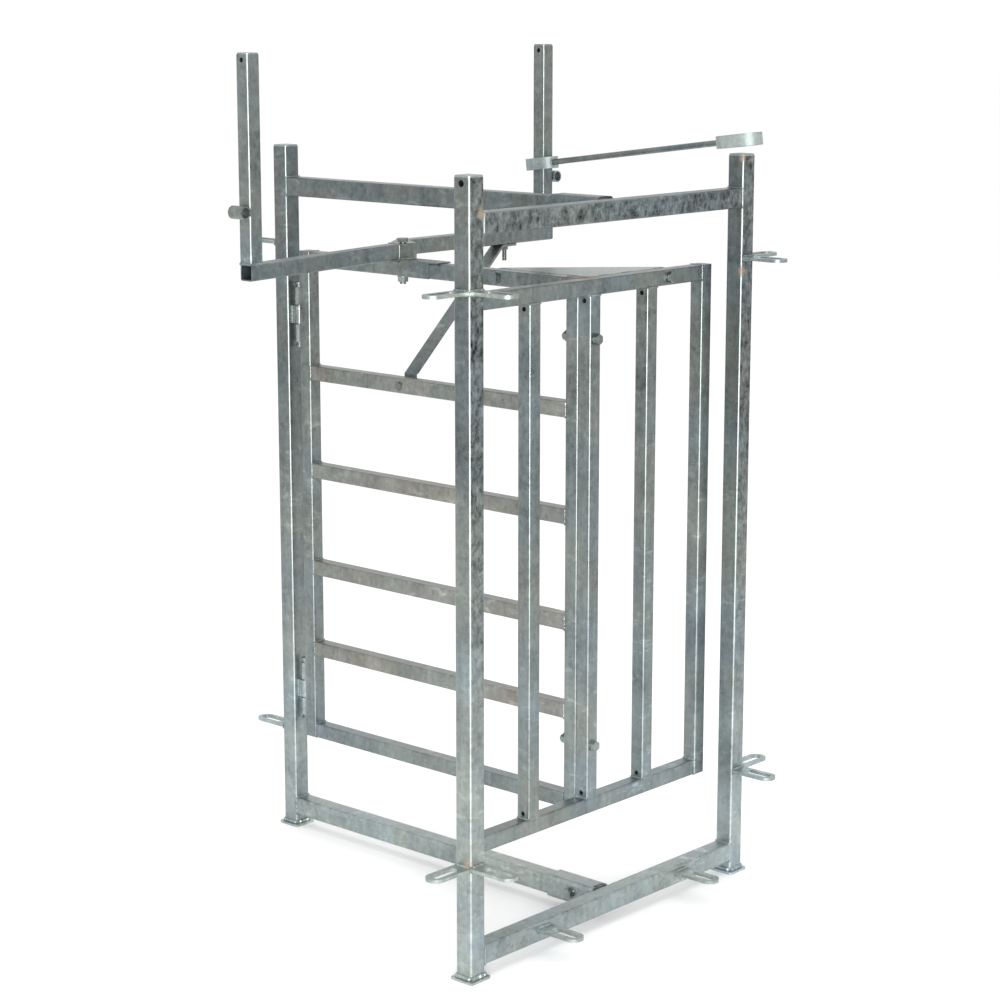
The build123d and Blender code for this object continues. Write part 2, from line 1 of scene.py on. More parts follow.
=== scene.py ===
# %% [markdown]
# # A galvanised sorting gate for livestock
# The real object is a T-shaped frame of square tube with a T-shaped gate hung
# on its rear post, a cranked hand lever across the gate and a ringed link that
# locks it. The tubes, plates and bolts come ready made from the CAD model.
# This lesson gives them their zinc, and adds what a drawing office leaves out:
# the weld beads, the closed tube ends, the threads and the rust spots.

# %% Load the model
import json
import math
import random

import bmesh
import bpy
from mathutils import Matrix, Vector


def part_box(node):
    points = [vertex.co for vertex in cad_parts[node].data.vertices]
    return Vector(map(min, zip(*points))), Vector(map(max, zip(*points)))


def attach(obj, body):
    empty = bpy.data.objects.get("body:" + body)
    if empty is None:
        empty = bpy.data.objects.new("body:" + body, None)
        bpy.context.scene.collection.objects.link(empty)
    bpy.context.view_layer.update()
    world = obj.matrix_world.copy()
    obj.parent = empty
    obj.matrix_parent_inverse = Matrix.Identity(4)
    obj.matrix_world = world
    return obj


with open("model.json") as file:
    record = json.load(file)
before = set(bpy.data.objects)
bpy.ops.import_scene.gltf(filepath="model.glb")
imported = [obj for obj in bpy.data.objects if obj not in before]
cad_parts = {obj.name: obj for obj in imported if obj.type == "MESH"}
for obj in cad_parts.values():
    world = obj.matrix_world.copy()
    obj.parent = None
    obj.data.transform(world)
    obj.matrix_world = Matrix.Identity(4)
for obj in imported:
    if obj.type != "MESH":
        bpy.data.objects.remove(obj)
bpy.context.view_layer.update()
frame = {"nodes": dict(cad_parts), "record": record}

MM = 0.001
dice = random.Random(11)
print("nodes", len(frame["nodes"]))

# %% [markdown]
# ## Camera
# A product view is taken from standing eye height and some way off, so that
# the uprights stay nearly parallel. The camera could track an empty placed at
# the object, but a plain heading and tilt in degrees are easier to read and
# to change, and nothing else in the scene depends on them.

# %% Place the camera
CAMERA_PLACE = (-4.593, -4.927, 2.303)
CAMERA_HEADING = 47.896
CAMERA_TILT = -11.541
CAMERA_LENS = 89.18
CAMERA_SENSOR = 36.0

camera_data = bpy.data.cameras.new("standing_view")
camera_data.lens = CAMERA_LENS
camera_data.sensor_width = CAMERA_SENSOR
camera = bpy.data.objects.new("standing_view", camera_data)
camera.location = CAMERA_PLACE
camera.rotation_euler = (
    math.radians(90.0 + CAMERA_TILT), 0.0, -math.radians(CAMERA_HEADING),
)
bpy.context.scene.collection.objects.link(camera)
bpy.context.scene.camera = camera
print("camera at", CAMERA_PLACE, "lens", CAMERA_LENS)

# %% [markdown]
# ## Shader arithmetic
# Zinc is a sum of several patterns: cloud, crystal, streak and stain. Adding
# and scaling them with separate Math nodes makes long scripts, so one small
# class wraps a socket and lets ordinary Python operators add the nodes. One
# method makes every other node: its settings go in first, then its sockets.

# %% Wrap sockets and nodes
class Wire:
    """An output socket that can be added, subtracted and multiplied."""

    def __init__(self, board, socket):
        self.board = board
        self.socket = socket

    def maths(self, operation, first, second):
        sockets = {0: first, 1: second}
        return self.board.node("ShaderNodeMath", {"operation": operation}, sockets)[0]

    def __add__(self, other):
        return self.maths("ADD", self, other)

    def __radd__(self, other):
        return self.maths("ADD", other, self)

    def __sub__(self, other):
        return self.maths("SUBTRACT", self, other)

    def __rsub__(self, other):
        return self.maths("SUBTRACT", other, self)

    def __mul__(self, other):
        return self.maths("MULTIPLY", self, other)

    def __rmul__(self, other):
        return self.maths("MULTIPLY", other, self)


class Outputs:
    """The outputs of one node, picked by name or number."""

    def __init__(self, board, made):
        self.board = board
        self.made = made

    def __getitem__(self, key):
        return Wire(self.board, self.made.outputs[key])


class Board:
    """A material's node tree, with one method that adds any node."""

    def __init__(self, name):
        self.material = bpy.data.materials.new(name)
        self.material.use_nodes = True
        self.tree = self.material.node_tree
        self.surface = self.tree.nodes["Principled BSDF"]

    def node(self, kind, settings=None, sockets=None):
        made = self.tree.nodes.new(kind)
        for key, value in (settings or {}).items():
            setattr(made, key, value)
        self.fill(made, sockets or {})
        return Outputs(self, made)

    def fill(self, made, sockets):
        for key, value in sockets.items():
            if isinstance(value, Wire):
                self.tree.links.new(value.socket, made.inputs[key])
            else:
                made.inputs[key].default_value = value


print("shader classes", Wire.__name__, Outputs.__name__, Board.__name__)

# %% [markdown]
# ## Pattern tools
# Every finish here is built from the same few moves: grow a soft noise,
# squeeze its coordinates so that it becomes a streak, cut a band out of it,
# and mix two colours by the result. Small functions with names keep the
# material itself short enough to read.

# %% Name the pattern tools
def noise(board, place, scale=1.0, detail=3.0, roughness=0.55):
    """A soft cloud between 0 and 1."""
    sockets = {"Vector": place, "Scale": scale, "Detail": detail, "Roughness": roughness}
    return board.node("ShaderNodeTexNoise", {}, sockets)["Fac"]


def stretched(board, place, scale):
    """The same coordinates, squeezed by a different amount along each axis."""
    return board.node("ShaderNodeMapping", {}, {"Vector": place, "Scale": scale})["Vector"]


def band(board, value, low, high, bottom=0.0, top=1.0):
    """Stretch the part of a value from low to high over bottom to top, and clamp it."""
    sockets = {0: value, 1: low, 2: high, 3: bottom, 4: top}
    return board.node("ShaderNodeMapRange", {"clamp": True}, sockets)[0]


def blend(board, factor, first, second):
    """Mix two colours."""
    settings = {"data_type": "RGBA", "clamp_factor": True}
    return board.node("ShaderNodeMix", settings, {0: factor, 6: first, 7: second})[2]


def vectors(board, operation, sockets, output="Vector"):
    """One step of vector arithmetic."""
    return board.node("ShaderNodeVectorMath", {"operation": operation}, sockets)[output]


print("pattern tools", noise.__name__, stretched.__name__, band.__name__, blend.__name__)

# %% [markdown]
# ## Spangle, rust and painted corner highlights
# Zinc freezes in flat crystals a centimetre across, the spangle. Cells alone
# have straight borders, so their coordinates are bent by a noise first. Rust
# comes through at cut edges and old welds as small ragged spots. The rounded
# corner of a tube gets a painted highlight, a lighter colour where the light's
# reflection runs. Object coordinates cannot find a corner, so the finish reads
# which way the surface faces: on a corner it faces halfway between two sides.

# %% Describe spangle, rust and corners
RUST_DARK = (0.13, 0.06, 0.03, 1.0)
RUST_PALE = (0.36, 0.24, 0.15, 1.0)
RUST_COVER = 0.6
RUST_SCALE = 90.0
RAGGED_SCALE = 70.0
RAGGED_REACH = 2.6
SPOT_FULL = 0.3
SPOT_EDGE = 1.25
# painted highlight: its colour on the tube corners, and where its mask starts and reaches full
# strength
CORNER_PAINTED_HIGHLIGHT = (0.8, 0.84, 0.82, 1.0)
HIGHLIGHT_START, HIGHLIGHT_FULL = 0.14, 0.25
BEND_SCALE = 45.0
BEND_REACH = 0.8


def spangle_cells(board, place, crystal):
    """A different grey between 0 and 1 for each zinc crystal."""
    bend = board.node("ShaderNodeTexNoise", {}, {"Vector": place, "Scale": BEND_SCALE})
    wander = vectors(board, "SCALE", {0: bend["Color"], "Scale": crystal * BEND_REACH})
    bent = vectors(board, "ADD", {0: place, 1: wander})
    cell = board.node("ShaderNodeTexVoronoi", {}, {"Vector": bent, "Scale": 1.0 / crystal})
    return board.node("ShaderNodeSeparateColor", {}, {0: cell["Color"]})["Red"]


def stain(board, place, centre, reach, ragged):
    """A ragged spot round one point: 1 at its middle, fading to 0 past its reach."""
    away = vectors(board, "DISTANCE", {0: place, 1: centre}, "Value")
    ragged_away = away + ragged * (reach * RAGGED_REACH)
    return band(board, ragged_away, reach * SPOT_FULL, reach * SPOT_EDGE, 1.0, 0.0)


def rust_spots(board, place, stains):
    """All the stains together, from 0 to 1."""
    ragged = noise(board, place, RAGGED_SCALE, detail=6.0, roughness=0.85) - 0.5
    rusted = 0.0
    for centre, reach in stains:
        rusted = rusted + stain(board, place, centre, reach, ragged)
    return rusted


def paint_corner_highlights(board, colour, edge):
    """Blend towards a painted highlight where an upright tube turns its corner."""
    facing = board.node("ShaderNodeTexCoord")["Normal"]
    lean = board.node("ShaderNodeSeparateXYZ", {}, {0: facing})
    both_ways = lean["X"] * lean["Y"]
    corner = band(board, both_ways * both_ways, HIGHLIGHT_START, HIGHLIGHT_FULL)
    return blend(board, corner * edge, colour, CORNER_PAINTED_HIGHLIGHT)


print("rust covers", RUST_COVER, "of a spot's middle")

# %% [markdown]
# ## Hot-dip zinc
# Galvanised tube is not one grey. Where the steel was cold or rough the zinc
# stays dull and cloudy, and it runs in faint streaks as the frame is lifted out
# of the bath. On top of that the grey is painted lighter towards the foot and
# darker towards the top: painted light, standing in for light bounced off the
# floor. An image of real zinc would show all that but would repeat along a
# long tube, so the patterns are grown from object coordinates, which need no
# unwrapping. Each pattern lifts or lowers the grey by its own strength.

# %% Make the zinc
COOL_TINT = (0.80, 0.95, 0.99, 1.0)
WARM_TINT = (0.90, 1.0, 0.93, 1.0)
BROWN_TINT = (1.0, 0.99, 0.88, 1.0)
# painted floor light: the heights between which the grey goes from its darker top value to its
# lighter foot value
SHADED_TOP_HEIGHT = 1.3
LIT_FOOT_HEIGHT = 0.1
BLOTCH_TOP = 1.3
BLOTCH_FOOT = 0.3
CLOUD_SCALE = 9.0
DRIFT_SCALE = 2.2
TINT_SCALE = 4.0
GRAIN_SCALE = 260.0
STREAK_STRETCH = (70.0, 70.0, 5.0)
WIPE_STRETCH = (16.0, 16.0, 42.0)
BLOTCH_STRETCH = (62.0, 62.0, 40.0)
STRENGTH = {
    "spangle": 0.24, "cloud": 0.9, "streak": 0.5, "drift": 0.5, "wiped": 0.8, "grain": 0.25,
}
DULL_BAND = (0.62, 1.0)
DULL_DRIFT = 0.6
WIPE_BAND = (0.56, 0.72)
WIPE_DRIFT_BAND = (0.4, 0.58)
TINT_BAND = (0.38, 0.62)
ROUGHER = {"dull": 0.14, "wiped": -0.1, "spangle": 0.1, "rusted": 0.3}
FRONT_BLOTCH = 4.2
# painted shade: how much darker the front faces are made high up, where they catch less light than
# the side faces
FRONT_PAINTED_SHADE = 0.15
FRONT_DEPTH = 2.0 * MM
RELIEF = {"cloud": 0.5, "spangle": 0.25, "grain": 0.35, "streak": 0.3}
RELIEF_STRENGTH = 0.35
RELIEF_DEPTH = 0.6 * MM
RUST_METAL = 0.1


def zinc(name, top_grey_shaded, foot_grey_lit, crystal, shine, metal, stains=(), front=None,
         mottle=0.0, edge=0.0, tints=(COOL_TINT, WARM_TINT)):
    """A galvanised surface: its greys near the top and at the ground, lighter at the ground as
    painted light from the floor; its spangle's size in metres, its roughness and how metallic
    it is. mottle is the strength of its blotches, which are stronger still on a front face, at
    the y given by front, where the grey is also darkened as painted shade. edge is how much a
    painted highlight lightens the rounded corners of an upright tube."""
    board = Board(name)
    place = board.node("ShaderNodeTexCoord")["Object"]
    apart = board.node("ShaderNodeSeparateXYZ", {}, {0: place})
    height = apart["Z"]
    cloud = noise(board, place, CLOUD_SCALE, detail=5.0, roughness=0.6)
    drift = noise(board, place, DRIFT_SCALE, detail=2.0)
    grain = noise(board, place, GRAIN_SCALE, detail=3.0)
    streak = noise(board, stretched(board, place, STREAK_STRETCH), detail=3.0)
    slanted = noise(board, stretched(board, place, WIPE_STRETCH), detail=6.0, roughness=0.7)
    spotted = noise(board, stretched(board, place, BLOTCH_STRETCH), detail=6.0, roughness=0.8)
    blotch = spotted - 0.5
    spangle = spangle_cells(board, place, crystal)

    dull = band(board, cloud + drift * DULL_DRIFT, *DULL_BAND)
    wiped = band(board, slanted, *WIPE_BAND) * band(board, drift, *WIPE_DRIFT_BAND)
    # painted light: the grey lightens from the top down to the foot, standing in for light bounced
    # off the floor
    grey_and_height_shade = band(board, height, SHADED_TOP_HEIGHT, LIT_FOOT_HEIGHT, top_grey_shaded, foot_grey_lit)
    raised = band(board, height, BLOTCH_FOOT, BLOTCH_TOP)
    uneven_and_front_shade = (
        1.0 + (spangle - 0.5) * STRENGTH["spangle"] + (cloud - 0.5) * STRENGTH["cloud"]
        + (streak - 0.5) * STRENGTH["streak"] + (drift - 0.5) * STRENGTH["drift"]
        + wiped * STRENGTH["wiped"] + (grain - 0.5) * STRENGTH["grain"]
        + raised * blotch * mottle
    )
    if front is not None:
        facing = band(board, apart["Y"], front + FRONT_DEPTH, front)
        # painted shade: high up, the front faces are made darker; their blotches also grow
        # stronger there
        uneven_and_front_shade = uneven_and_front_shade + facing * raised * (blotch * FRONT_BLOTCH - FRONT_PAINTED_SHADE)
    tint = blend(board, band(board, noise(board, place, TINT_SCALE), *TINT_BAND), *tints)
    colour = vectors(board, "SCALE", {0: tint, "Scale": grey_and_height_shade * uneven_and_front_shade})
    # painted highlight down the rounded corners of upright tubes
    if edge:
        colour = paint_corner_highlights(board, colour, edge)

    rough = (
        shine + dull * ROUGHER["dull"] + wiped * ROUGHER["wiped"]
        + (spangle - 0.5) * ROUGHER["spangle"]
    )
    metal_here = metal
    if stains:
        rusted = rust_spots(board, place, stains)
        rust = blend(board, noise(board, place, RUST_SCALE), RUST_DARK, RUST_PALE)
        colour = blend(board, rusted * RUST_COVER, colour, rust)
        rough = rough + rusted * ROUGHER["rusted"]
        metal_here = band(board, rusted, 0.0, 1.0, metal, RUST_METAL)

    relief = (
        cloud * RELIEF["cloud"] + spangle * RELIEF["spangle"]
        + grain * RELIEF["grain"] + streak * RELIEF["streak"]
    )
    bump = board.node("ShaderNodeBump", {}, {
        "Strength": RELIEF_STRENGTH, "Distance": RELIEF_DEPTH, "Height": relief,
    })
    board.fill(board.surface, {
        "Base Color": colour, "Roughness": rough, "Metallic": metal_here,
        "Normal": bump["Normal"],
    })
    return board.material


print("patterns in the grey", sorted(STRENGTH))

# %% [markdown]
# ## One zinc for each kind of part
# Thick posts, thin gate tube, plate, the link's rings and the bolts take zinc
# differently, so each kind gets its own greys and crystal size. The ladder's
# middle rails kept a browner coat than its uprights. A few rust spots sit at
# corners, below the lugs and by the welds.

# %% Mix the finishes
right_low, right_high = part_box("right_entry_post")
left_low, left_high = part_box("left_entry_post")
panel_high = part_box("panel_top_rail")[1]
front_y = right_low.y
rust_places = (
    # each is the spot's middle and how far it reaches, in metres
    ((right_low.x, front_y, right_high.z), 0.014),
    ((right_low.x + 0.004, front_y, right_high.z - 0.292), 0.013),
    ((right_high.x, front_y, right_high.z - 0.285), 0.008),
    ((left_high.x - 0.012, front_y, right_high.z - 0.082), 0.013),
    ((left_low.x, front_y + 0.012, 0.297), 0.014),
    ((0.0, panel_high.y, panel_high.z), 0.036),
)
# each finish's two greys make it lighter at the foot than at the top as painted floor light;
# frame_zinc also gets painted shade on its front faces and a painted highlight on its corners
frame_zinc = zinc(
    "frame_zinc", top_grey_shaded=0.135, foot_grey_lit=0.32, crystal=0.011, shine=0.3, metal=0.8,
    stains=rust_places, front=front_y, mottle=1.2, edge=0.2,
)
gate_zinc = zinc(
    "gate_zinc", top_grey_shaded=0.165, foot_grey_lit=0.24, crystal=0.011, shine=0.3, metal=0.8,
    stains=rust_places, mottle=1.6, edge=0.12,
)
strap_zinc = zinc(
    "strap_zinc", top_grey_shaded=0.165, foot_grey_lit=0.24, crystal=0.011, shine=0.3, metal=0.8,
    mottle=1.6,
)
rail_zinc = zinc(
    "rail_zinc", top_grey_shaded=0.195, foot_grey_lit=0.24, crystal=0.011, shine=0.34, metal=0.8,
    mottle=1.2, tints=(WARM_TINT, BROWN_TINT),
)
plate_zinc = zinc(
    "plate_zinc", top_grey_shaded=0.27, foot_grey_lit=0.38, crystal=0.007, shine=0.3, metal=0.8,
    stains=rust_places, mottle=0.8,
)
ring_zinc = zinc(
    "ring_zinc", top_grey_shaded=0.33, foot_grey_lit=0.33, crystal=0.004, shine=0.5, metal=0.8,
    mottle=0.4,
)
bolt_zinc = zinc(
    "bolt_zinc", top_grey_shaded=0.17, foot_grey_lit=0.3, crystal=0.003, shine=0.24, metal=0.92,
    mottle=0.6,
)
weld_zinc = zinc(
    "weld_zinc", top_grey_shaded=0.2, foot_grey_lit=0.32, crystal=0.004, shine=0.26, metal=0.85,
    stains=rust_places, mottle=0.8,
)
print("rust spots", len(rust_places))

# %% [markdown]
# ## Hand out the finishes
# The record names a material slot for every node, and three slots cover most
# of them. A few nodes differ from the rest of their slot, so they are listed
# by name, and square tube on the gate takes the gate's greys.

# %% Give each node its finish
slot_finishes = {
    "galvanised_tube": frame_zinc, "galvanised_plate": plate_zinc, "bright_zinc": bolt_zinc,
}
ladder_rails = (
    "ladder_top_rail", "ladder_rail_2", "ladder_rail_3",
    "ladder_rail_4", "ladder_rail_5", "ladder_bottom_rail",
)
own_finishes = {
    "lever_block": strap_zinc, "lever_saddle": strap_zinc,
    "brace_strap": strap_zinc, "left_stop_stub": strap_zinc,
    "handle_ring": ring_zinc, "post_ring": ring_zinc,
}
middle_rails = ladder_rails[1:-1]
own_finishes.update({node: rail_zinc for node in middle_rails})
gate_nodes = frame["record"]["behaviour"]["bodies"]["gate"]
for part in frame["record"]["subparts"]:
    shown = frame["nodes"][part["node"]].data
    finish = slot_finishes[part["material_slot"]]
    if finish is frame_zinc and part["node"] in gate_nodes:
        finish = gate_zinc
    shown.materials.clear()
    shown.materials.append(own_finishes.get(part["node"], finish))
print("finishes by slot", sorted(slot_finishes), "by name", len(own_finishes))

# %% [markdown]
# ## Smooth corners
# The CAD model arrives as flat triangles. The rounded corners of the tubes
# carry the bright line that runs down every upright, so they have to shade
# smoothly while the flat faces stay flat. Marking edges sharper than an angle
# does that without changing any vertex.

# %% Shade the tubes
SHARP_ANGLE = math.radians(35.0)
for node in frame["nodes"].values():
    node.data.shade_smooth()
    node.data.set_sharp_from_angle(angle=SHARP_ANGLE)
print("smooth nodes", len(frame["nodes"]))

# %% [markdown]
# ## Weld beads
# Each tube is welded all round where it meets the next one. A bead is a row
# of overlapping ripples with an uneven width. It could be a texture, but the
# beads stand out against the light at every joint, so they are real shapes: a
# small circle is drawn out step by step, and each new ring is scaled a little
# more or a little less than the last.

# %% Lay one bead
BEAD_STEP = 2.6 * MM
BEAD_SIDES = 8
BEAD_FEWEST_STEPS = 3
RIPPLE_WIDE = 1.08
RIPPLE_NARROW = 0.93
RIPPLE_SPREAD = (0.88, 1.12)
BEAD_END = 0.5


def lay_bead(mesh, start, end, radius):
    """Draw one ripple-sided bead from start to end."""
    start = Vector(start)
    run = Vector(end) - start
    steps = max(BEAD_FEWEST_STEPS, round(run.length / BEAD_STEP))
    along_run = run.to_track_quat("Z", "Y").to_matrix().to_4x4()
    ring = bmesh.ops.create_circle(
        mesh, cap_ends=True, segments=BEAD_SIDES, radius=radius,
        matrix=Matrix.Translation(start) @ along_run,
    )["verts"]
    edges = list(dict.fromkeys(edge for vert in ring for edge in vert.link_edges))
    size = 1.0
    centre = start.copy()
    for step in range(steps):
        grown = bmesh.ops.extrude_edge_only(mesh, edges=edges)["geom"]
        ring = [item for item in grown if isinstance(item, bmesh.types.BMVert)]
        new_edges = [item for item in grown if isinstance(item, bmesh.types.BMEdge)]
        edges = [edge for edge in new_edges if all(vert in ring for vert in edge.verts)]
        bmesh.ops.translate(mesh, verts=ring, vec=run / steps)
        centre += run / steps
        ripple = RIPPLE_WIDE if step % 2 else RIPPLE_NARROW
        wanted = ripple * dice.uniform(*RIPPLE_SPREAD)
        if step == steps - 1:
            wanted = BEAD_END
        ratio = wanted / size
        size = wanted
        bmesh.ops.scale(mesh, verts=ring, vec=(ratio,) * 3, space=Matrix.Translation(-centre))
    bmesh.ops.contextual_create(mesh, geom=edges)


print("bead step in mm", BEAD_STEP / MM)

# %% [markdown]
# ## From mesh to piece
# Every added piece ends the same way: its faces are turned outwards, it gets
# its finish and it is told which moving body it rides on. One function does
# that, so no piece can be forgotten.

# %% Finish a piece
PIECE_SHARP = math.radians(50.0)


def finish_piece(mesh, name, body, material):
    """Turn a bmesh into an object that rides on a body."""
    bmesh.ops.recalc_face_normals(mesh, faces=mesh.faces)
    data = bpy.data.meshes.new(name)
    mesh.to_mesh(data)
    mesh.free()
    data.materials.append(material)
    data.shade_smooth()
    data.set_sharp_from_angle(angle=PIECE_SHARP)
    piece = bpy.data.objects.new(name, data)
    bpy.context.scene.collection.objects.link(piece)
    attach(piece, body)
    print(name, "faces", len(data.polygons))


print("pieces stay smooth up to", round(math.degrees(PIECE_SHARP)), "degrees")

# %% [markdown]
# ## Beads round the tube ends
# Most joints are the same: a square tube butts against another tube and is
# welded round its four sides. The tube's own box says where its ends are, so
# one function serves every rail and bar. The posts get a fatter bead at the
# foot, lifted so that it stays off the ground.

# %% Weld round a section
X, Y, Z = 0, 1, 2
TUBE_BEAD = 3.2 * MM
POST_BEAD = 3.6 * MM
HANDLE_BEAD = 1.2 * TUBE_BEAD
CORNER_INSET = 1.2 * MM
FOOT_BEAD = 7.0 * MM
FOOT_LIFT = 3.5 * MM
SIDE_SPREAD = (0.9, 1.1)


def weld_ring(mesh, low, high, axis, at, radius):
    """Lay four beads round a box's section, where it crosses a plane."""
    across, up = [side for side in (X, Y, Z) if side != axis]
    corners = []
    for side, rise in ((0, 0), (1, 0), (1, 1), (0, 1)):
        corner = Vector((0.0, 0.0, 0.0))
        corner[axis] = at
        corner[across] = high[across] - CORNER_INSET if side else low[across] + CORNER_INSET
        corner[up] = high[up] - CORNER_INSET if rise else low[up] + CORNER_INSET
        corners.append(corner)
    for first, second in zip(corners, corners[1:] + corners[:1]):
        lay_bead(mesh, first, second, radius * dice.uniform(*SIDE_SPREAD))


def weld_ends(mesh, node, axis, ends, radius, lift=0.0):
    """Weld a tube round its low end (0), its high end (1) or both."""
    low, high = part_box(node)
    for end in ends:
        at = high[axis] if end else low[axis] + lift
        weld_ring(mesh, low, high, axis, at, radius)


frame_beads = bmesh.new()
for node in ("entry_top_rail", "entry_bottom_rail"):
    weld_ends(frame_beads, node, X, (0, 1), POST_BEAD)
for node in ("spine_top_rail", "spine_bottom_rail"):
    weld_ends(frame_beads, node, Y, (1,), POST_BEAD)
for node in ("hinge_post", "left_entry_post", "right_entry_post"):
    weld_ends(frame_beads, node, Z, (0,), FOOT_BEAD, lift=FOOT_LIFT)
print("frame tube ends welded, vertices", len(frame_beads.verts))

# %% [markdown]
# ## Beads on the gate's tubes
# The gate is a ladder and a cross panel, both of the same thin tube. The
# lever's left arm slants, so its box is deeper than its end, and the weld
# takes only the last part of that box.

# %% Weld the gate's tubes
SLANTED_END = 40.5 * MM

gate_beads = bmesh.new()
for node in ladder_rails:
    weld_ends(gate_beads, node, Y, (0, 1), TUBE_BEAD)
for node in ("panel_top_rail", "panel_bottom_rail"):
    weld_ends(gate_beads, node, X, (0, 1), TUBE_BEAD)
for node in ("panel_left_bar", "panel_middle_bar", "panel_right_bar"):
    weld_ends(gate_beads, node, Z, (0, 1), TUBE_BEAD)
for node in ("left_handle", "right_handle"):
    weld_ends(gate_beads, node, Z, (0,), HANDLE_BEAD)
weld_ends(gate_beads, "lever_right_arm", X, (0,), TUBE_BEAD)
arm_low, arm_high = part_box("lever_left_arm")
arm_root = Vector((arm_low.x, arm_high.y - SLANTED_END, arm_low.z))
weld_ring(gate_beads, arm_root, arm_high, X, arm_high.x, TUBE_BEAD)
print("gate tube ends welded, vertices", len(gate_beads.verts))

# %% [markdown]
# ## Beads on the lugs
# The slotted lugs take the weight of whole race panels, so they carry the
# heaviest beads, above and below. One node can hold lugs at two heights, and
# then its box gives the lowest and the highest face.

# %% Weld the lugs
LUG_BEAD = 5.0 * MM
LUG_THICK = 8.0 * MM
LUG_HALF = 25.0 * MM
LUG_BEAD_HALF = 23.0 * MM


def lug_levels(node):
    """The top and bottom faces of the low lugs and of the high lugs of a node."""
    low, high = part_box(node)
    if high.z - low.z < 2 * LUG_THICK:
        return (low.z, high.z)
    return (low.z, low.z + LUG_THICK, high.z - LUG_THICK, high.z)


def weld_lug(mesh, centre, across, levels):
    """Weld one lug's root. across runs along the face, for the lug's width."""
    half = Vector(across) * LUG_BEAD_HALF
    for level in levels:
        root = Vector((centre[0], centre[1], level))
        lay_bead(mesh, root - half, root + half, LUG_BEAD)


hinge_post_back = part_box("hinge_post")[1].y
weld_lug(frame_beads, (0.0, hinge_post_back), (1, 0, 0), lug_levels("hinge_post_lugs"))
for node in ("left_entry_post", "right_entry_post"):
    low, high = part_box(node)
    middle = (low + high) / 2
    outer = low.x if middle.x < 0 else high.x
    weld_lug(frame_beads, (outer, middle.y), (0, 1, 0), lug_levels("entry_side_lugs"))
    weld_lug(frame_beads, (middle.x, low.y), (1, 0, 0), lug_levels("entry_front_lugs"))
rail_lug_low, rail_lug_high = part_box("rail_lugs")
for x in (rail_lug_low.x + LUG_HALF, rail_lug_high.x - LUG_HALF):
    weld_lug(frame_beads, (x, rail_lug_high.y), (1, 0, 0), lug_levels("rail_lugs"))
print("lugs welded, vertices", len(frame_beads.verts))

# %% [markdown]
# ## Beads on the sockets and hinges
# The sockets are welded down both sides to the back of the entry rails, and
# the hinge leaves along both long edges. A node with two or four barrels has
# one box, so the barrels' heights are worked out from its ends.

# %% Weld the sockets and hinge leaves
SOCKET_END = 6.0 * MM
KNUCKLE = 47.0 * MM
LEAF_HALF = 10.0 * MM
LEAF_BEAD = 2.6 * MM


def weld_leaves(mesh, face_y, centres):
    """Weld both long edges of each hinge leaf to the face behind it."""
    for height in centres:
        for x in (-LEAF_HALF, LEAF_HALF):
            foot = Vector((x, face_y, height - KNUCKLE / 2))
            lay_bead(mesh, foot, foot + Vector((0, 0, KNUCKLE)), LEAF_BEAD)


for node in ("top_socket", "bottom_socket"):
    low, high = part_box(node)
    for x in (low.x, high.x):
        foot = Vector((x, low.y, low.z + SOCKET_END))
        rise = Vector((0, 0, high.z - low.z - 2 * SOCKET_END))
        lay_bead(frame_beads, foot, foot + rise, POST_BEAD)

post_leaf_low, post_leaf_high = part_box("post_hinge_knuckles")
gate_leaf_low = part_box("gate_hinge_knuckles")[0]
post_leaves = (post_leaf_low.z + KNUCKLE / 2, post_leaf_high.z - KNUCKLE / 2)
knuckle_pitch = post_leaves[0] - (gate_leaf_low.z + KNUCKLE / 2)
gate_leaves = [height + side * knuckle_pitch for height in post_leaves for side in (-1, 1)]
weld_leaves(frame_beads, post_leaf_high.y, post_leaves)
weld_leaves(gate_beads, gate_leaf_low.y, gate_leaves)
print("hinge leaves welded", len(post_leaves) + len(gate_leaves))

# %% [markdown]
# ## Beads on the small parts
# The stop stubs are welded to the handles with two short beads, one seam runs
# across the saddle at the block's front, and the thin gusset is only stitched,
# because a long bead would pull it out of flat.

# %% Weld the stubs, the block and the gusset
STUB_BEAD_HALF = 6.0 * MM
STITCH = 34.0 * MM
STITCH_BEAD = 2.2 * MM
STITCH_SINK = 1.0 * MM
STITCH_SHARES = (0.12, 0.42, 0.86)

for node, face in (("left_stop_stub", 1), ("right_stop_stub", 0)):
    low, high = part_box(node)
    x = high.x if face else low.x
    middle_z = (low.z + high.z) / 2
    for z in (middle_z - STUB_BEAD_HALF, middle_z + STUB_BEAD_HALF):
        lay_bead(gate_beads, (x, low.y, z), (x, high.y, z), TUBE_BEAD)

saddle_low, saddle_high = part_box("lever_saddle")
block_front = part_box("lever_block")[0].y
seam_start = Vector((saddle_low.x, block_front, saddle_high.z))
seam = Vector((saddle_high.x - saddle_low.x, 0, 0))
lay_bead(gate_beads, seam_start, seam_start + seam, TUBE_BEAD)

gusset_low, gusset_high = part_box("corner_gusset")
gusset_corner = Vector((gusset_low.x, gusset_low.y, gusset_high.z - STITCH_SINK))
for share in STITCH_SHARES:
    reach = (gusset_high.x - gusset_low.x) * share
    for along in (Vector((1, 0, 0)), Vector((0, 1, 0))):
        start = gusset_corner + along * reach
        lay_bead(gate_beads, start, start + along * STITCH, STITCH_BEAD)
print("gusset stitches", 2 * len(STITCH_SHARES))

# %% [markdown]
# ## Collars on the link's rod
# The link's rod is round, so its weld is a collar: one small circle is spun
# all the way round the rod. The rod lies level across and climbs a little
# towards the entry, so its box gives both its ends.

# %% Weld the link's rod to its rings
ROD_RADIUS = 8.0 * MM
COLLAR_BEAD = 3.0 * MM
COLLAR_INSET = 2.5 * MM
COLLAR_STEPS = 20


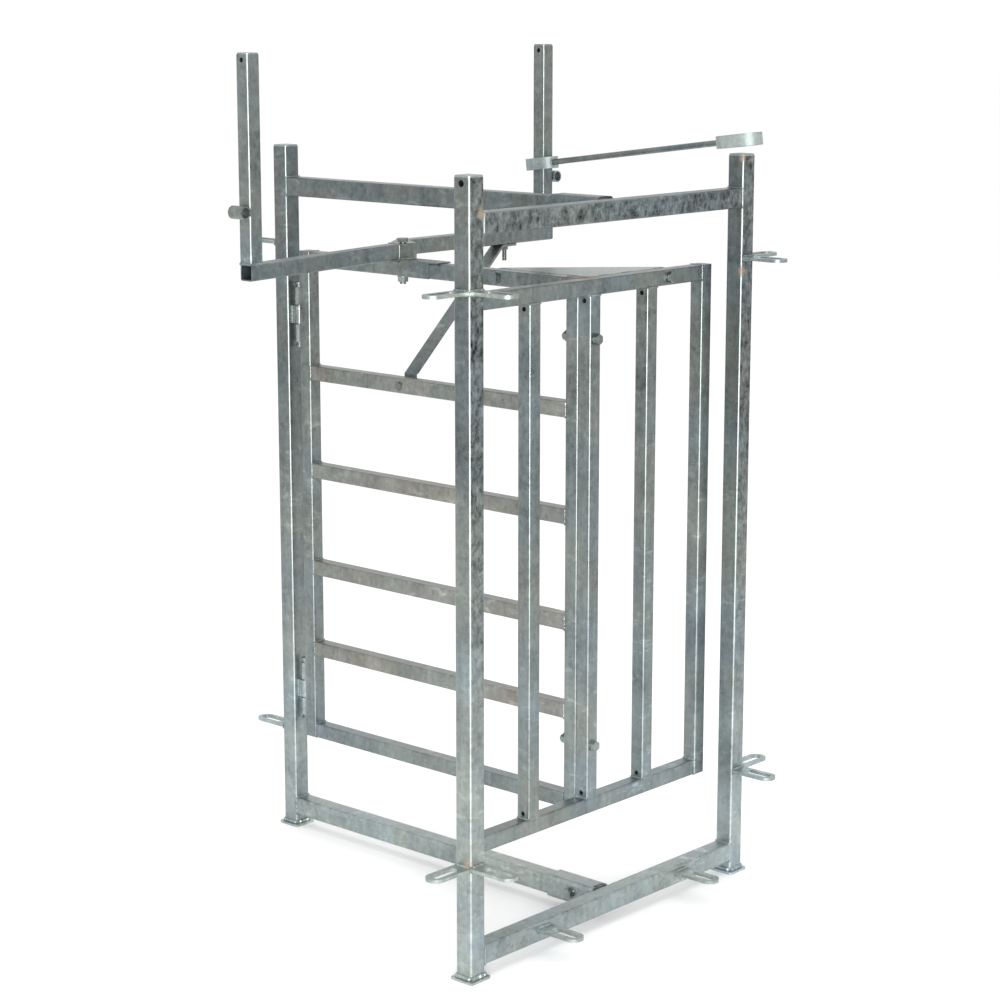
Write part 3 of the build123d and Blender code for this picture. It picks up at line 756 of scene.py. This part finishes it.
def weld_collar(mesh, centre, axis, reach, radius):
    """Turn one bead round the end of a round rod."""
    axis = Vector(axis).normalized()
    side = axis.orthogonal().normalized()
    turn = axis.cross(side).to_track_quat("Z", "Y").to_matrix().to_4x4()
    place = Matrix.Translation(centre + side * reach) @ turn
    ring = bmesh.ops.create_circle(mesh, segments=BEAD_SIDES, radius=radius, matrix=place)["verts"]
    edges = list(dict.fromkeys(edge for vert in ring for edge in vert.link_edges))
    bmesh.ops.spin(
        mesh, geom=ring + edges, cent=centre, axis=axis, angle=2 * math.pi,
        steps=COLLAR_STEPS, use_merge=True,
    )


rod_low, rod_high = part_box("link_rod")
near_end = Vector((rod_high.x - ROD_RADIUS, rod_high.y, rod_low.z + ROD_RADIUS))
far_end = Vector((rod_low.x + ROD_RADIUS, rod_low.y, rod_high.z - ROD_RADIUS))
rod_way = (far_end - near_end).normalized()
link_beads = bmesh.new()
for centre in (near_end + rod_way * COLLAR_INSET, far_end - rod_way * COLLAR_INSET):
    weld_collar(link_beads, centre, rod_way, ROD_RADIUS, COLLAR_BEAD)

finish_piece(link_beads, "link_weld_beads", "link", weld_zinc)
finish_piece(frame_beads, "frame_weld_beads", "frame", weld_zinc)
finish_piece(gate_beads, "gate_weld_beads", "gate", weld_zinc)

# %% [markdown]
# ## Closed tube ends
# The gate's uprights are closed top and bottom with small plates ground flush,
# so that nothing collects in them. Each is a flat block with softened edges
# that sits just inside the tube's mouth.

# %% Close the uprights
PLATE = 3.0 * MM
PLATE_MARGIN = 1.0 * MM
PLATE_CORNER = 3.0 * MM
PLATE_CORNER_STEPS = 3


def close_tube(mesh, low, high, top):
    """Set one plate inside the mouth of an upright tube."""
    middle = (low + high) / 2
    side = high.x - low.x - 2 * PLATE_MARGIN
    height = high.z - PLATE / 2 if top else low.z + PLATE / 2
    place = Matrix.Translation((middle.x, middle.y, height))
    shape = place @ Matrix.Diagonal((side, side, PLATE, 1.0))
    verts = bmesh.ops.create_cube(mesh, size=1.0, matrix=shape)["verts"]
    edges = list(dict.fromkeys(edge for vert in verts for edge in vert.link_edges))
    upright = [
        edge for edge in edges if abs((edge.verts[0].co - edge.verts[1].co).z) > PLATE / 2
    ]
    bmesh.ops.bevel(
        mesh, geom=upright, offset=PLATE_CORNER, segments=PLATE_CORNER_STEPS, profile=0.5,
        affect="EDGES", material=-1,
    )


end_plates = bmesh.new()
for node in ("hinge_stile", "meeting_stile", "panel_left_stile", "panel_right_stile"):
    low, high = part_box(node)
    for top in (True, False):
        close_tube(end_plates, low, high, top)
finish_piece(end_plates, "stile_end_plates", "gate", gate_zinc)

# %% [markdown]
# ## Threads
# The bolts pass right through the tubes and show a few turns of thread beyond
# the nut. A thread is a small ridge carried round the bolt while it climbs by
# one pitch a turn, which is what a spin with a step along its axis does.

# %% Cut the threads
THREAD_STEPS = 16
THREAD_ROOT = -0.4
THREAD_CREST = 0.32
LARGE_BOLT = 8.0 * MM
LARGE_PITCH = 2.0 * MM
SMALL_BOLT = 6.0 * MM
SMALL_PITCH = 1.75 * MM
SMALL_NUT = 10.0 * MM
STICK_OUT = 6.0 * MM
STRAP_THICK = 6.0 * MM
STRAP_END = 28.0 * MM
BRACE_THREAD = 29.5 * MM


def cut_thread(mesh, start, axis, radius, length, pitch):
    """Wind a ridge round a bolt from start, along axis, for length."""
    start = Vector(start)
    axis = Vector(axis).normalized()
    side = axis.orthogonal().normalized()
    profile = []
    for out, along in ((THREAD_ROOT, 0.0), (THREAD_CREST, 0.5), (THREAD_ROOT, 1.0)):
        point = start + side * (radius + out * pitch) + axis * (along * pitch)
        profile.append(mesh.verts.new(point))
    edges = [mesh.edges.new(pair) for pair in zip(profile, profile[1:])]
    turns = (length - pitch) / pitch
    bmesh.ops.spin(
        mesh, geom=profile + edges, cent=start, axis=axis, dvec=axis * (pitch / THREAD_STEPS),
        angle=2 * math.pi * turns, steps=round(THREAD_STEPS * turns), use_merge=False,
    )


frame_threads = bmesh.new()
bolts_low, bolts_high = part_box("socket_bolts")
bolts_y = (bolts_low.y + bolts_high.y) / 2
for node in ("bottom_socket", "top_socket"):
    low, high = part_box(node)
    start = (bolts_high.x - STICK_OUT, bolts_y, (low.z + high.z) / 2)
    cut_thread(frame_threads, start, (1, 0, 0), LARGE_BOLT, STICK_OUT, LARGE_PITCH)

gate_threads = bmesh.new()
lever_low, lever_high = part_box("lever_bolt")
lever_start = (0.0, (lever_low.y + lever_high.y) / 2, lever_low.z + STICK_OUT)
cut_thread(gate_threads, lever_start, (0, 0, -1), LARGE_BOLT, STICK_OUT, LARGE_PITCH)

arm_low, arm_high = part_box("lever_right_arm")
under_nut = arm_low.z - STRAP_THICK - SMALL_NUT
strap_bolt_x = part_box("brace_strap")[1].x - STRAP_END
strap_start = (strap_bolt_x, (arm_low.y + arm_high.y) / 2, under_nut)
cut_thread(gate_threads, strap_start, (0, 0, -1), SMALL_BOLT, BRACE_THREAD, SMALL_PITCH)
finish_piece(frame_threads, "frame_bolt_threads", "frame", bolt_zinc)
finish_piece(gate_threads, "gate_bolt_threads", "gate", bolt_zinc)

# %% [markdown]
# ## Floor and sky
# A plain pale floor and a bright, even sky keep the eye on the zinc. The floor
# is one large square, so that its edge never shows.

# %% Build the floor and the sky
FLOOR_REACH = 60.0
FLOOR_COLOUR = (0.93, 0.93, 0.93, 1.0)
FLOOR_ROUGHNESS = 0.9
SKY_COLOUR = (1.0, 1.0, 1.0, 1.0)
SKY_STRENGTH = 1.08

floor_mesh = bmesh.new()
bmesh.ops.create_grid(floor_mesh, x_segments=1, y_segments=1, size=FLOOR_REACH)
floor_data = bpy.data.meshes.new("studio_floor")
floor_mesh.to_mesh(floor_data)
floor_mesh.free()
floor_board = Board("studio_floor")
floor_board.fill(floor_board.surface, {
    "Base Color": FLOOR_COLOUR, "Roughness": FLOOR_ROUGHNESS,
})
floor_data.materials.append(floor_board.material)
floor = bpy.data.objects.new("studio_floor", floor_data)
bpy.context.scene.collection.objects.link(floor)

world = bpy.data.worlds.new("studio_sky")
world.use_nodes = True
sky = world.node_tree.nodes["Background"]
sky.inputs["Color"].default_value = SKY_COLOUR
sky.inputs["Strength"].default_value = SKY_STRENGTH
bpy.context.scene.world = world
bpy.context.scene.view_settings.view_transform = "Standard"
print("floor reaches", FLOOR_REACH, "m, sky", SKY_STRENGTH)

# %% [markdown]
# ## Light
# Metal shows what stands round it, so the lights are large panels: one behind
# the viewer, whose reflection draws the white line down each rounded corner, a
# softer one to the side that separates the two faces of every tube, and one
# overhead for the level faces.

# %% Hang the lights
def hang_light(name, place, target, width, height, power):
    """Hang one rectangular light that faces a point."""
    data = bpy.data.lights.new(name, "AREA")
    data.shape = "RECTANGLE"
    data.size = width
    data.size_y = height
    data.energy = power
    light = bpy.data.objects.new(name, data)
    light.location = place
    aim = Vector(target) - Vector(place)
    light.rotation_euler = aim.to_track_quat("-Z", "Y").to_euler()
    bpy.context.scene.collection.objects.link(light)
    print(name, "watts", power)


hang_light(
    "front_panel", place=(-5.4, -5.8, 1.6), target=(0.0, -0.6, 0.9),
    width=3.0, height=3.2, power=620.0,
)
hang_light(
    "left_panel", place=(-6.0, 1.5, 4.0), target=(0.0, -0.6, 1.0),
    width=3.0, height=3.0, power=30.0,
)
hang_light(
    "top_panel", place=(0.5, -1.5, 5.5), target=(0.0, -0.6, 0.8),
    width=4.0, height=4.0, power=60.0,
)
